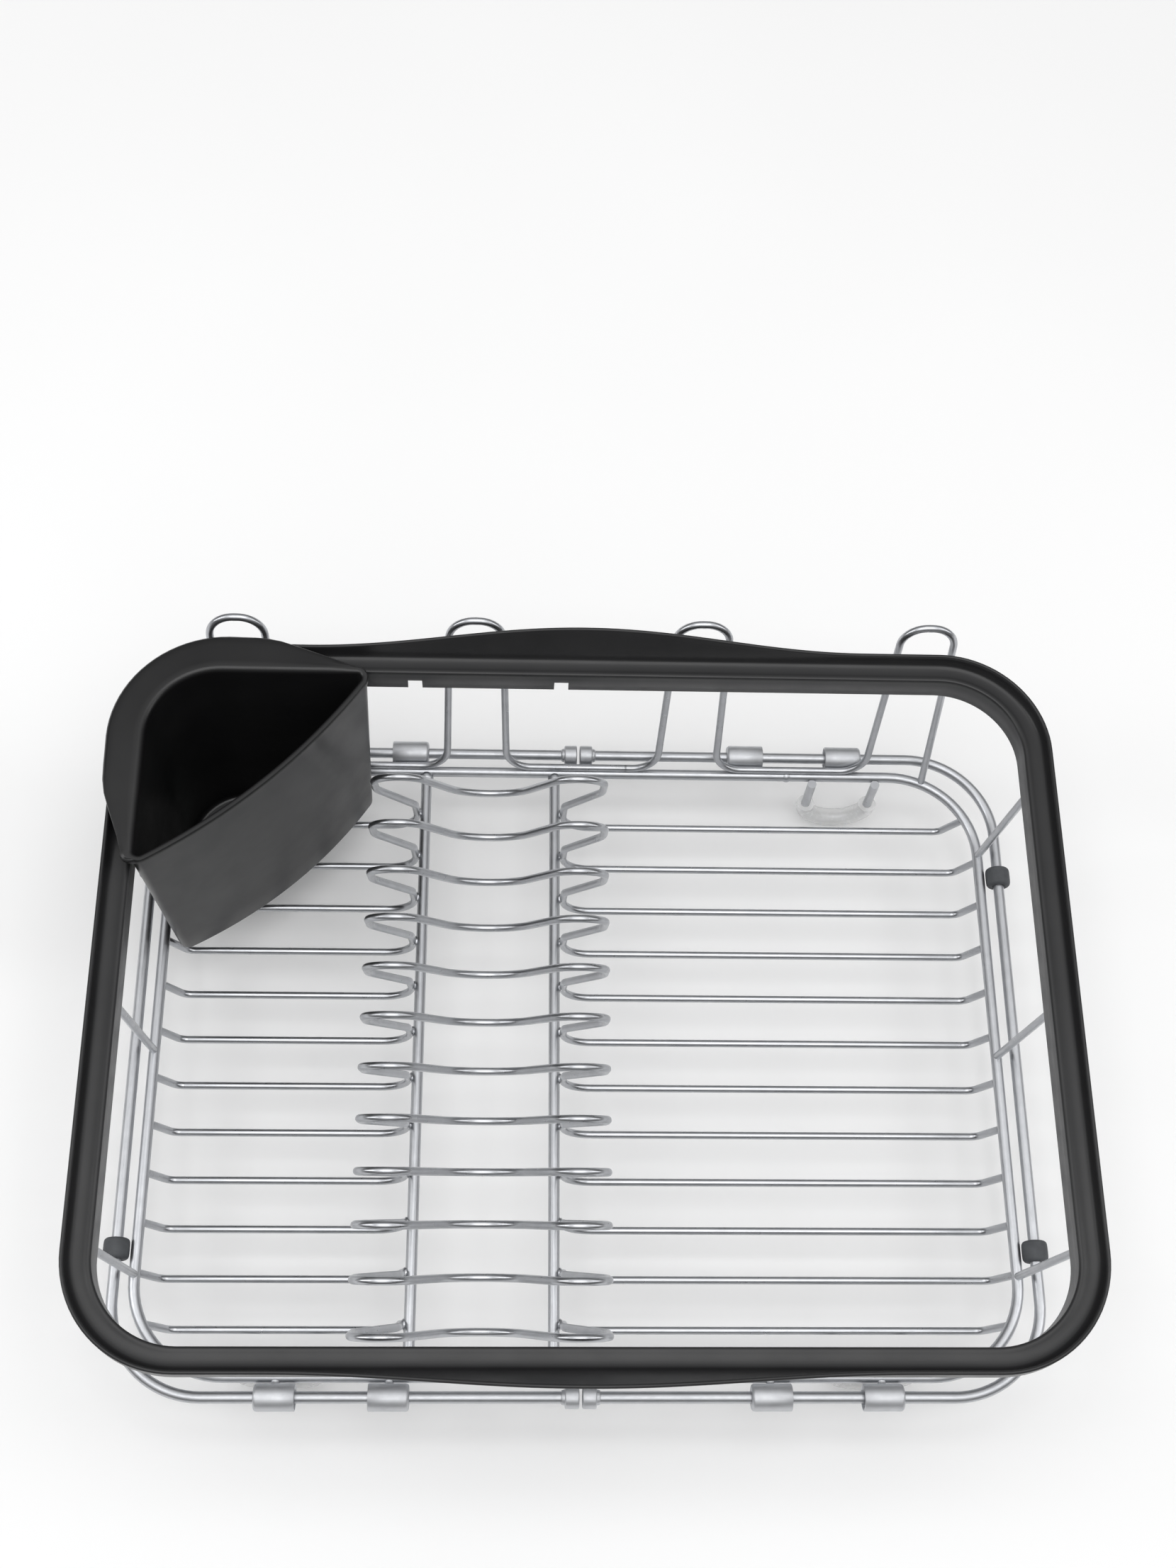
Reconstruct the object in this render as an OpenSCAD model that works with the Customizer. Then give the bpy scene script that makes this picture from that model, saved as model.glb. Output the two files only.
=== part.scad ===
// Dish drying rack: a welded wire basket with a row of plate dividers, a moulded rim,
// a lift-out cutlery caddy and two wire arms that pull out to span a sink.
// Lengths are millimetres. The heights below are measured from the axis of the floor wires.

/* [Basket] */
// Length of the base ring, between wire axes
ring_l = 336.6; // [300:0.2:400]
// Width of the base ring, between wire axes
ring_w = 248.4; // [240:0.2:280]
// Corner radius of the base ring, at the wire axis
ring_r = 35.9; // [34:0.1:40]
// Diameter of the base ring's wire
ring_d = 4.4; // [4:0.1:5]
// Height of the base ring above the floor wires
ring_z = 13.6; // [12.5:0.1:16]
// Diameter of the floor, hook and upright wires
wire_d = 3; // [2.6:0.1:3.2]
// Distance between neighbouring floor wires
row_pitch = 19.1; // [18:0.1:20]
// Length of a floor wire's level run, end to end
floor_run_l = 320.8; // [290:0.2:321]
// Length of the level run of the first and last floor wires
end_run_l = 311.4; // [280:0.2:311]

/* [Plate dividers] */
// Centre of the dividers along the rack
divider_x = -37.1; // [-45:0.1:0]
// Distance between the two support bars
bar_gap = 54.2; // [50:0.1:60]
// Width of one divider over its wire axes
divider_w = 89.8; // [86:0.1:100]
// Height of a divider's two crests, along its leaning plane
crest_h = 86; // [80:0.5:90]
// Height of the dip between the crests
dip_h = 56; // [50:0.5:60]
// Steepness of the wave between crest and dip
wave_slope = 59; // [56:1:62]
// Lean of a divider towards the front
divider_lean = 12.9; // [0:0.1:14]

/* [Hooks and uprights] */
// Centres of the hooks along the back
hook_x = [-135.6, -43, 45.6, 134.2];
// Distance between a hook's legs at the bottom
hook_foot_w = 25; // [23:0.1:27]
// Width of a hook's loop
hook_loop_w = 20.8; // [20:0.1:22]
// Height of the hook wire at the top of a loop
hook_top = 107; // [105:0.5:115]
// Outward lean of the hooks, as a slope
hook_slope = 0.22; // [0.2:0.01:0.25]
// Where the side uprights stand, along the side
upright_y = [88, 0.5, -87];
// How far an upright leans towards the front
upright_lean = 5.5; // [0:0.5:6]

/* [Rim] */
// Length of the rim
rim_l = 355.6; // [355:0.1:357]
// Width of the rim without its handles
rim_w = 271.6; // [271:0.1:272]
// Outer corner radius of the rim
rim_r = 40.6; // [38:0.1:42]
// Offset of the rim's middle towards the back
rim_y = -0.2; // [-0.3:0.1:0]
// Height of the rim's outer edge
rim_z = 103.9; // [103:0.1:106]
// Width of the rim's band
rim_band = 9.8; // [9.6:0.1:10]
// Depth of the skirt that hangs from the inner ridge
skirt_h = 12; // [10:0.1:13]
// Length of one raised handle
handle_l = 216; // [180:1:220]
// Rise of a handle above the rim's edge
handle_rise = 7.3; // [4:0.1:9]
// How far a handle flares outwards
handle_flare = 5.4; // [3:0.1:5.6]

/* [Caddy] */
// Height of the caddy's underside above the floor wires
caddy_z = 8.5; // [8:0.5:20]
// Wall thickness of the caddy
caddy_wall = 2; // [1.6:0.1:2.5]
// How far the caddy's flange reaches past the rim
flange_over = 2.8; // [2.4:0.1:3.2]

/* [Sliding arms] */
// Length over both closed arms, between wire axes
arm_l = 351.2; // [350.8:0.1:352]
// Width of the arms, between wire axes
arm_w = 263.6; // [263:0.1:264.4]
// Corner radius of the arms, at the wire axis
arm_r = 35.5; // [30:0.1:40]
// Diameter of the arms' wire
arm_d = 4.4; // [4:0.1:4.5]
// Height of the arms above the floor wires
arm_z = 15.5; // [15.3:0.1:15.8]
// Centres of the guide clips, from the middle of the rack
clip_x = [71, 113];
// Length of a guide clip
clip_l = 15.2; // [12:0.1:18]
// Outer diameter of a guide clip
clip_d = 10; // [9.6:0.1:10.4]
// Where the rubber rings sit, from the middle of the side
grip_y = 77.7; // [70:0.1:80]
// Diameter of a rubber ring
grip_d = 10; // [9:0.1:10]

/* [Feet] */
// Centre of each foot along the rack
foot_x = 113.4; // [100:0.1:118]
// Distance between the two legs of a foot
foot_w = 27; // [24:0.1:30]
// Diameter of the foot wire
foot_d = 3.8; // [3.4:0.1:4]
// Depth of the foot wire's lowest point below the floor wires
foot_drop = 20.1; // [17:0.1:24]
// Outer diameter of a foot's soft sleeve
sleeve_d = 7.6; // [7:0.1:9]
// How far inside the ring's axis the feet stand
foot_in = 3.8; // [3.6:0.1:3.9]

/* [Hidden] */
$fn = 48;

metal = [0.72, 0.73, 0.75];
plastic = [0.09, 0.09, 0.095];
rubber = [0.3, 0.31, 0.33];
clear = [0.9, 0.92, 0.92, 0.6];

rows = 12;
weld = 0.4;        // depth of a weld into the wire that it joins
bend_reach = 0.3;  // how far a bend reaches into the straight wire
bend_thin = 0.04;  // how much thinner a bend is than its wire
u_flat = 0.6;      // half of the short flat between the two bends of a U
fit_gap = 0.4;     // gap between parts that lift or slide apart
slide_gap = 0.08;  // radial play of an arm in a guide clip

// Rim section, measured inwards and downwards from the top of the outer edge
rim_t = 1.6;
wall_h = 6.5;
channel_dip = 4.8;
ridge_dip = 4.5;
notch_w = 5.5;
notch_h = 5.7;
notch_x = [-66.5, -9.6];
socket_d = 6;
socket_h = 9;

// Caddy plan: the centres of its three corner circles at the top and at the bottom
skirt_in_x = rim_l / 2 - rim_band;
skirt_in_y = rim_w / 2 - rim_band + rim_y;
cup_x = -skirt_in_x + fit_gap;
cup_y = skirt_in_y - fit_gap - 2;
cup_r = [28.8, 24];
tip_r = 4;
cup_in = [0, 4.7];
cup_back_in = [0, 7.8];
tip_right = [[-88, 0], [-91, 0]];
tip_left = [[0, 47.5], [0, 49.2]];
cup_bulge = 6;
flange_t = 1.8;
flange_drop = 5;

clip_bore_d = 8.4;
clip_wall_l = 1.8;
collar_d = 8.2;
collar_l = 5.3;
neck_d = 5.6;
neck_l = 1.5;
collar_gap = 1.2;  // gap between the two arms' collars when closed
grip_l = 8;
upright_in = 2.9;  // how far an upright leans outwards
pad_flat = 0.4;    // depth of the flat that a sleeve stands on

hook_run_z = ring_z + 3.6;
base_h = foot_drop + sleeve_d / 2 - pad_flat;
box_left = -(rim_l / 2 + flange_over);
box_right = max(rim_l / 2, arm_l / 2 + grip_d / 2);
box_front = -(rim_w / 2 + handle_flare) + rim_y;
box_back = hook_plane(hook_top).y + wire_d / 2 * cos(atan(hook_slope));
origin = [(box_left + box_right) / 2, (box_front + box_back) / 2, -base_h];

function unit(v) = v / norm(v);
function row_y(k) = ((rows + 1) / 2 - k) * row_pitch;
function arc_y(x, half_l, half_w, r) =
    abs(x) < half_l - r ? half_w : half_w - r + sqrt(r * r - pow(abs(x) - half_l + r, 2));
function ring_x_at(y) = arc_y(y, ring_w / 2, ring_l / 2, ring_r);

// Point of a divider's leaning plane: across from its centre, up along the plane
function divider_point(u, s, y) =
    [divider_x + u, y - (s - ring_z) * sin(divider_lean), ring_z + (s - ring_z) * cos(divider_lean)];

// Point of the hooks' leaning plane at a height
function hook_plane(z) = [0, ring_w / 2 + 1.1 + (z - hook_run_z) * hook_slope, z];

module placed() { translate(-origin) children(); }

module rod(a, b, d) {
    v = b - a;
    translate(a) rotate([0, acos(v.z / norm(v)), atan2(v.y, v.x)]) cylinder(d = d, h = norm(v));
}

// One bend of a wire at a corner, between two directions. It is a hair thinner than the wire
// and reaches a little way into the straight stretches, so that they join as one solid.
module bend(corner, from, to, r, d) {
    turn = acos(from * to);
    over = bend_reach / r * 180 / PI;
    side = unit(to - (to * from) * from);
    centre = corner - r * tan(turn / 2) * from + r * side;
    axis = cross(-side, from);
    multmatrix([
        [-side.x, from.x, axis.x, centre.x],
        [-side.y, from.y, axis.y, centre.y],
        [-side.z, from.z, axis.z, centre.z],
        [0, 0, 0, 1]
    ]) rotate(-over) rotate_extrude(angle = turn + 2 * over) translate([r, 0]) circle(d = d - bend_thin);
}

// A round wire through a list of [point, bend radius]. A closed wire bends at every point.
module wire(path, d, closed = false) {
    n = len(path);
    p = [for (step = path) step[0]];
    dir = [for (i = [0 : n - 1]) unit(p[(i + 1) % n] - p[i])];
    before = [for (i = [0 : n - 1]) dir[(i + n - 1) % n]];
    bends = closed ? [0 : n - 1] : [1 : n - 2];
    cut = [for (i = [0 : n - 1])
        !closed && (i == 0 || i == n - 1) ? 0 : path[i][1] * tan(acos(before[i] * dir[i]) / 2)];
    union() {
        for (i = [0 : closed ? n - 1 : n - 2])
            rod(p[i] + cut[i] * dir[i], p[(i + 1) % n] - cut[(i + 1) % n] * dir[i], d);
        for (i = bends) bend(p[i], before[i], dir[i], path[i][1], d);
    }
}

// End of a wire that meets the ring's wire from a given point
function ring_end(from, target) = target - (ring_d / 2 - weld) * unit(target - from);

module base_ring() {
    x = ring_l / 2;
    y = ring_w / 2;
    butt = [89, y, ring_z];
    color(metal) placed() {
        wire([for (c = [[1, -1], [1, 1], [-1, 1], [-1, -1]])
            [[c.x * x, c.y * y, ring_z], ring_r]], ring_d, closed = true);
        translate(butt) rotate([0, 90, 0]) sphere(d = ring_d + 0.8);
    }
}

// A bar's ends butt on the ring in a weld bead
module support_bar(side) {
    x = divider_x + side * bar_gap / 2;
    y = ring_w / 2 - ring_d / 2;
    color(metal) placed() {
        rod([x, -y - weld, ring_z], [x, y + weld, ring_z], ring_d);
        for (end = [-1, 1]) translate([x, end * (y - 0.8), ring_z]) sphere(d = ring_d + 1.4);
    }
}

// A floor wire and its divider are one wire: ring, level run, up a support bar, loop,
// wave, and the same again to the other end of the ring
module cross_wire(k) {
    y = row_y(k);
    run = (k == 1 || k == rows ? end_run_l : floor_run_l) / 2;
    bar_u = bar_gap / 2 - ring_d / 2 - wire_d / 2 + weld;
    rise_u = bar_gap / 2 + ring_d / 2 + wire_d / 2 - 0.1;
    half = divider_w / 2;
    crest_r = 10.5;
    crest_turn = 90 + wave_slope;
    peak = crest_h - crest_r + crest_r * tan(crest_turn / 2);
    trough = peak - half * tan(wave_slope);
    dip_r = (dip_h - trough) / (1 / cos(wave_slope) - 1);
    function side_path(s) = [
        [ring_end([s * run, y, 0], [s * ring_x_at(y), y, ring_z]), 0],
        [[s * run, y, 0], 5],
        [[divider_x + s * rise_u, y, 0], 11.5],
        [divider_point(s * rise_u, ring_z, y), 6],
        [divider_point(s * rise_u, 31, y), 5],
        [divider_point(s * half, 62, y), 14],
        [divider_point(s * half, peak, y), crest_r]
    ];
    left = side_path(-1);
    right = side_path(1);
    dip = [divider_point(0, trough, y), dip_r];
    color(metal) placed()
        wire([each left, dip, each [for (i = [len(right) - 1 : -1 : 0]) right[i]]], wire_d);
}

// The corners of one hook, between its two feet on the run behind the ring
function hook_corners(x) = [
    [[x - hook_foot_w / 2, 0, 0] + hook_plane(hook_run_z), 11],
    [[x - hook_loop_w / 2, 0, 0] + hook_plane(hook_top), hook_loop_w / 2 - u_flat],
    [[x + hook_loop_w / 2, 0, 0] + hook_plane(hook_top), hook_loop_w / 2 - u_flat],
    [[x + hook_foot_w / 2, 0, 0] + hook_plane(hook_run_z), 11]
];

// One wire forms two hooks: its outer leg stands on the ring, its inner end on the other wire
module hook_wire(side) {
    join = [20 - side * 0.4, 0, 0] + hook_plane(hook_run_z);
    inner = side < 0 ? hook_x[1] : hook_x[2];
    outer = side < 0 ? hook_x[0] : hook_x[3];
    first = hook_corners(inner);
    second = hook_corners(outer);
    order = side < 0 ? [3, 2, 1, 0] : [0, 1, 2, 3];
    last = second[order[2]][0];
    foot = outer + side * hook_foot_w / 2;
    stand = [foot, arc_y(foot, ring_l / 2, ring_w / 2, ring_r), ring_z];
    color(metal) placed()
        wire([
            [join, 0],
            each [for (i = order) first[i]],
            each [for (i = [0 : 2]) second[order[i]]],
            [ring_end(last, stand), 0]
        ], wire_d);
}

function upright_path(side, y) = [
    [side * ring_l / 2, y, ring_z + ring_d / 2 - weld - 0.3],
    [side * (ring_l / 2 + upright_in), y - upright_lean, rim_z - 6.2]
];

module upright(side, y) {
    path = upright_path(side, y);
    color(metal) placed() rod(path[0], path[1], wire_d);
}

// Section of the rim from its outer edge inwards: outer wall, lip, channel, ridge and skirt
function rim_section() = let (
    b = rim_band, ridge = -ridge_dip, channel = -channel_dip
) [
    [0, -wall_h], [0, -0.7], [-0.2, -0.2], [-0.7, 0], [-1.3, -0.1], [-1.7, -0.6], [-2.5, channel + 1.1],
    [-3.1, channel + 0.3], [-4.1, channel], [-5.6, channel - 0.1], [-7, channel], [-7.9, ridge - 0.2],
    [-8.5, ridge], [-b + 0.8, ridge], [-b + 0.3, ridge - 0.2], [-b, ridge - 0.8],
    [-b, ridge - skirt_h], [-b + 1.4, ridge - skirt_h], [-b + 1.4, -wall_h]
];

module rim_corner(x, y, turn) {
    translate([x, y, rim_z]) rotate(turn) rotate_extrude(angle = 90)
        translate([rim_r, 0]) polygon(rim_section());
}

module rim_side(x, y, turn, length) {
    translate([x, y, rim_z]) rotate(turn) rotate([90, 0, 0])
        translate([0, 0, -length / 2]) linear_extrude(length) polygon(rim_section());
}

// A raised, outward-leaning handle on one long side: its top edge is one wave
module handle(end) {
    half = handle_l / 2;
    tall = norm([handle_rise, handle_flare]);
    steps = 24;
    crest = [for (i = [0 : steps]) let (x = -half + i * handle_l / steps)
        [x, tall * (1 + cos(180 * x / half)) / 2]];
    root = 2.2;
    lean = atan(handle_flare / handle_rise);
    translate([0, end * (rim_w / 2 - rim_t / 2 * cos(lean)) + rim_y, rim_z - rim_t / 2 * sin(lean)])
        rotate([-end * lean, 0, 0])
        rotate([90, 0, 0]) linear_extrude(rim_t, center = true)
        polygon([[-half, -root], each crest, [half, -root]]);
}

module rim() {
    cx = rim_l / 2 - rim_r;
    cy = rim_w / 2 - rim_r;
    color(plastic) placed() difference() {
        union() {
            translate([0, rim_y, 0]) {
                for (i = [0 : 3]) let (sx = i == 0 || i == 3 ? 1 : -1, sy = i < 2 ? 1 : -1)
                    rim_corner(sx * cx, sy * cy, 90 * i);
                rim_side(rim_l / 2, 0, 0, 2 * cy);
                rim_side(-rim_l / 2, 0, 180, 2 * cy);
                rim_side(0, rim_w / 2, 90, 2 * cx);
                rim_side(0, -rim_w / 2, 270, 2 * cx);
            }
            for (end = [-1, 1]) handle(end);
            for (side = [-1, 1], y = upright_y) rim_socket(side, y);
        }
        for (x = notch_x)
            translate([x - notch_w / 2, rim_w / 2 - rim_band - 3 + rim_y, rim_z - 30])
                cube([notch_w, 6, 30 - ridge_dip - skirt_h + notch_h]);
        for (side = [-1, 1], y = upright_y) let (path = upright_path(side, y))
            rod(path[0], path[1], wire_d);
    }
}

// Blind socket under the channel that takes the top of an upright
module rim_socket(side, y) {
    top = upright_path(side, y)[1];
    dir = unit(top - upright_path(side, y)[0]);
    rod(top - (socket_h - 2.5) * dir, top + 0.5 * dir, socket_d);
}

// Circles that span the caddy's plan at the top (level 0) or the bottom (level 1)
module cup_circles(level, inset, z) {
    x = cup_x + cup_in[level];
    y = cup_y - cup_back_in[level];
    right = [tip_right[level].x, y - tip_r];
    left = [x + tip_r, tip_left[level].y];
    mid = (right + left) / 2;
    normal = unit([right.y - left.y, left.x - right.x]);
    big = cup_r[level];
    translate([x + big, y - big, z]) cylinder(r = big - inset, h = 0.05);
    for (t = [-1 : 0.25 : 1])
        translate([each (mid + t * (right - mid) + (1 - t * t) * cup_bulge * normal), z])
            cylinder(r = tip_r - inset, h = 0.05, $fn = 32);
}

module cup_solid(inset, low, high) {
    hull() {
        cup_circles(1, inset, low);
        cup_circles(0, inset, high);
    }
}

// Plan of the rim's outline, grown outwards
module rim_outline(grow) {
    x = rim_l / 2 + grow;
    y = rim_w / 2 + grow;
    r = rim_r + grow;
    translate([0, rim_y]) {
        square([2 * x, 2 * (y - r)], center = true);
        square([2 * (x - r), 2 * y], center = true);
        for (sx = [-1, 1], sy = [-1, 1]) translate([sx * (x - r), sy * (y - r)]) circle(r);
    }
}

// The part of the rim's corner that the caddy's flange covers
module flange_window() {
    polygon([[-190, 81], [-181, 76], [-165, 46], [-140, 60], [-100, 100], [-84, 121], [-112, 133],
        [-122, 150], [-190, 150]]);
}

module caddy() {
    top = rim_z + fit_gap + flange_t;
    color(plastic) placed() difference() {
        union() {
            cup_solid(0, caddy_z, top - 0.05);
            translate([0, 0, top - flange_t]) linear_extrude(flange_t)
                intersection() { rim_outline(flange_over); flange_window(); }
            translate([0, 0, top - flange_drop]) linear_extrude(flange_drop)
                intersection() {
                    difference() { rim_outline(flange_over); rim_outline(fit_gap); }
                    flange_window();
                }
        }
        cup_solid(caddy_wall, caddy_z + caddy_wall, top + 1);
    }
}

module arm(side) {
    x = side * arm_l / 2;
    y = arm_w / 2;
    end_x = side * (collar_gap / 2 + 1.3);
    color(metal) placed()
        wire([
            [[end_x, -y, arm_z], 0], [[x, -y, arm_z], arm_r],
            [[x, y, arm_z], arm_r], [[end_x, y, arm_z], 0]
        ], arm_d);
}

// Stop collar on an arm's end, with its neck towards the clip
module collar(side, end) {
    color(metal) placed()
        translate([side * collar_gap / 2, end * arm_w / 2, arm_z]) rotate([0, side * 90, 0])
        difference() {
            union() {
                cylinder(d = collar_d, h = collar_l);
                cylinder(d = neck_d, h = collar_l + neck_l);
            }
            translate([0, 0, 1.3]) cylinder(d = arm_d, h = collar_l + neck_l);
        }
}

module grip(side, end) {
    e = 1.2;
    r = grip_d / 2;
    half = grip_l / 2;
    color(rubber) placed()
        translate([side * arm_l / 2, end * grip_y, arm_z]) rotate([90, 0, 0])
        rotate_extrude() polygon([
            [arm_d / 2, -half], [r - e, -half], [r - 0.3, -half + 0.4], [r, -half + e],
            [r, half - e], [r - 0.3, half - 0.4], [r - e, half], [arm_d / 2, half]
        ]);
}

// Guide clip: a thin tube closed down to the arm at one end and welded to the ring.
// flip is 1 where the closed-down end faces +X.
module clip(x, end, flip) {
    drop = arm_z - ring_z;
    out = (arm_w - ring_w) / 2;
    reach = norm([out, drop]) - ring_d / 2 + weld;
    wall = (clip_d - clip_bore_d) / 2;
    color(metal) placed() translate([x, end * arm_w / 2, arm_z]) difference() {
        union() {
            rotate([0, 90, 0]) cylinder(d = clip_d, h = clip_l, center = true);
            rod([0, -end * out, -drop] * ((clip_d / 2 - wall) / norm([out, drop])),
                [0, -end * out, -drop] * (reach / norm([out, drop])), 3.4);
        }
        translate([-flip * clip_wall_l, 0, 0]) rotate([0, 90, 0])
            cylinder(d = clip_bore_d, h = clip_l, center = true);
        rotate([0, 90, 0]) cylinder(d = arm_d + 2 * slide_gap, h = 2 * clip_l, center = true);
    }
}

// Clips count from the left: outer pair closed outwards, inner pair closed to the middle
module clip_at(index, end) {
    outer = index == 1 || index == 4;
    side = index < 3 ? -1 : 1;
    clip(side * clip_x[outer ? 1 : 0], end, outer ? side : -side);
}

function foot_path(sx, sy, top) = let (
    x = sx * foot_x, y = sy * (ring_w / 2 - foot_in), half = foot_w / 2, low = -foot_drop
) [
    [[x - half, y, top], 0], [[x - half, y, low], half - u_flat],
    [[x + half, y, low], half - u_flat], [[x + half, y, top], 0]
];

module foot(sx, sy) {
    color(metal) placed() wire(foot_path(sx, sy, ring_z + 0.8), foot_d);
}

module sleeve(sx, sy) {
    top = -5.4;
    color(clear) placed() difference() {
        wire(foot_path(sx, sy, top), sleeve_d);
        wire(foot_path(sx, sy, 0), foot_d);
        translate([sx * foot_x, sy * (ring_w / 2 - foot_in), -base_h - 5]) cube([40, 20, 10], center = true);
    }
}

base_ring();
support_bar(-1);  // support_bar_left
support_bar(1);  // support_bar_right
cross_wire(1);  // cross_wire_01
cross_wire(2);  // cross_wire_02
cross_wire(3);  // cross_wire_03
cross_wire(4);  // cross_wire_04
cross_wire(5);  // cross_wire_05
cross_wire(6);  // cross_wire_06
cross_wire(7);  // cross_wire_07
cross_wire(8);  // cross_wire_08
cross_wire(9);  // cross_wire_09
cross_wire(10);  // cross_wire_10
cross_wire(11);  // cross_wire_11
cross_wire(12);  // cross_wire_12
hook_wire(-1);  // hook_wire_left
hook_wire(1);  // hook_wire_right
upright(-1, upright_y[0]);  // upright_left_back
upright(-1, upright_y[1]);  // upright_left_middle
upright(-1, upright_y[2]);  // upright_left_front
upright(1, upright_y[0]);  // upright_right_back
upright(1, upright_y[1]);  // upright_right_middle
upright(1, upright_y[2]);  // upright_right_front
rim();
caddy();
arm(-1);  // arm_left
arm(1);  // arm_right
collar(-1, -1);  // collar_left_front
collar(-1, 1);  // collar_left_back
collar(1, -1);  // collar_right_front
collar(1, 1);  // collar_right_back
grip(-1, -1);  // grip_left_front
grip(-1, 1);  // grip_left_back
grip(1, -1);  // grip_right_front
grip(1, 1);  // grip_right_back
clip_at(1, -1);  // clip_front_1
clip_at(2, -1);  // clip_front_2
clip_at(3, -1);  // clip_front_3
clip_at(4, -1);  // clip_front_4
clip_at(1, 1);  // clip_back_1
clip_at(2, 1);  // clip_back_2
clip_at(3, 1);  // clip_back_3
clip_at(4, 1);  // clip_back_4
foot(-1, -1);  // foot_front_left
foot(1, -1);  // foot_front_right
foot(-1, 1);  // foot_back_left
foot(1, 1);  // foot_back_right
sleeve(-1, -1);  // sleeve_front_left
sleeve(1, -1);  // sleeve_front_right
sleeve(-1, 1);  // sleeve_back_left
sleeve(1, 1);  // sleeve_back_right
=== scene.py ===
"""Looks of the dish drying rack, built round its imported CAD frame.

Places are in metres and MM is one millimetre. The rim's section and the whole caddy are
worked out in millimetres, and are scaled when they are done.
"""

import math

import bpy
from mathutils import Matrix, Vector, noise


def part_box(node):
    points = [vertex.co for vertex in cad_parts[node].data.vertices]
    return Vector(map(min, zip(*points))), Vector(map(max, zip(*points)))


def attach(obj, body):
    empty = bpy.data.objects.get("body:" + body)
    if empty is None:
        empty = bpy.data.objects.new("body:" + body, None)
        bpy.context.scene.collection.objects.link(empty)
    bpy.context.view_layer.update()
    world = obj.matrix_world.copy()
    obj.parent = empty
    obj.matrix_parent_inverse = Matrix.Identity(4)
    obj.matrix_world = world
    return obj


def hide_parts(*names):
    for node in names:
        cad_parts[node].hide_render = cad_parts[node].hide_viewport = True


MM = 0.001

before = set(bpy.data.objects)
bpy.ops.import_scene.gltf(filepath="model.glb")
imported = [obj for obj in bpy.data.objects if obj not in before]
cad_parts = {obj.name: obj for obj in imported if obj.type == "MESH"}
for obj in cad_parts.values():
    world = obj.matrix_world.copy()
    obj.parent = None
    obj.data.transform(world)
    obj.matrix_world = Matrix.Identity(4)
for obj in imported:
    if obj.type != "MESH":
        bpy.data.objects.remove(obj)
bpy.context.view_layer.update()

# ---------------------------------------------------------------- places, read from the frame


def middle(node):
    lo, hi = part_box(node)
    return (lo + hi) / 2


HANDLE_RISE = 7.3 * MM
HANDLE_FLARE = 5.4 * MM
HANDLE_HALF = 108 * MM
RIM_CORNER = 40.6 * MM
RIM_BAND = 9.8 * MM
WIRE_R = 1.5 * MM
RING_R = 2.2 * MM

rim_lo, rim_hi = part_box("rim")
rim_top = rim_hi.z - HANDLE_RISE
rim_mid_y = (rim_lo.y + rim_hi.y) / 2
rim_half_l = rim_hi.x
rim_half_w = (rim_hi.y - rim_lo.y) / 2 - HANDLE_FLARE
ring_z = middle("support_bar_left").z
bar_x = [middle("support_bar_left").x, middle("support_bar_right").x]
cross_wires = sorted(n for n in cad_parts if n.startswith("cross_wire"))
arm_z = middle("arm_left").z
arm_half_w = (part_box("arm_left")[1].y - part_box("arm_left")[0].y) / 2 - RING_R
rack_mid_y = middle("arm_left").y

# ---------------------------------------------------------------- mesh helpers


def new_piece(name, verts, faces, material, sharp_deg=38):
    """A smooth-shaded mesh object whose edges stay sharp above an angle."""
    mesh = bpy.data.meshes.new(name)
    mesh.from_pydata([tuple(v) for v in verts], [], faces)
    mesh.update()
    mesh.polygons.foreach_set("use_smooth", [True] * len(mesh.polygons))
    mesh.set_sharp_from_angle(angle=math.radians(sharp_deg))
    mesh.materials.append(material)
    piece = bpy.data.objects.new(name, mesh)
    bpy.context.scene.collection.objects.link(piece)
    return piece


def loft(rings, closed=False):
    """Points and quads of a surface through closed rings of equal length.

    An open loft gets an end face on each end.
    """
    count = len(rings[0])
    verts = [p for ring in rings for p in ring]
    faces = []
    for i in range(len(rings) if closed else len(rings) - 1):
        a, b = i * count, (i + 1) % len(rings) * count
        faces += [(a + j, a + (j + 1) % count, b + (j + 1) % count, b + j) for j in range(count)]
    if not closed:
        last = (len(rings) - 1) * count
        faces.append(tuple(range(count - 1, -1, -1)))
        faces.append(tuple(range(last, last + count)))
    return verts, faces


def join_parts(parts):
    """One list of points and faces from several (points, faces)."""
    verts, faces = [], []
    for part_verts, part_faces in parts:
        start = len(verts)
        verts += part_verts
        faces += [tuple(start + i for i in face) for face in part_faces]
    return verts, faces


def lathe(profile, place, segments=48):
    """A profile of (radius, height) turned about place's Z axis, which runs round the solid and closes."""
    rings = []
    for i in range(segments):
        a = 2 * math.pi * i / segments
        rings.append([place @ Vector((r * math.cos(a), r * math.sin(a), h)) for r, h in profile])
    return loft(rings, closed=True)


def arc(centre, radius, start_deg, end_deg, steps):
    """Points (x, y) on an arc, both ends included."""
    found = []
    for i in range(steps + 1):
        a = math.radians(start_deg + (end_deg - start_deg) * i / steps)
        found.append((centre[0] + radius * math.cos(a), centre[1] + radius * math.sin(a)))
    return found


def along_x(centre, sign=1):
    """A place whose Z axis runs along X, or against it."""
    return Matrix.Translation(centre) @ Matrix.Rotation(sign * math.pi / 2, 4, "Y")


def along_y(centre):
    """A place whose Z axis runs along Y."""
    return Matrix.Translation(centre) @ Matrix.Rotation(-math.pi / 2, 4, "X")


def smooth_step(t):
    """A rise from 0 to 1 that starts and ends level."""
    t = max(0.0, min(1.0, t))
    return t * t * (3 - 2 * t)


def soft_max(a, b, width):
    """The larger of two numbers, with the change from one to the other rounded off."""
    return (a + b + math.sqrt((a - b) ** 2 + width * width)) / 2


# ---------------------------------------------------------------- materials


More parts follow.
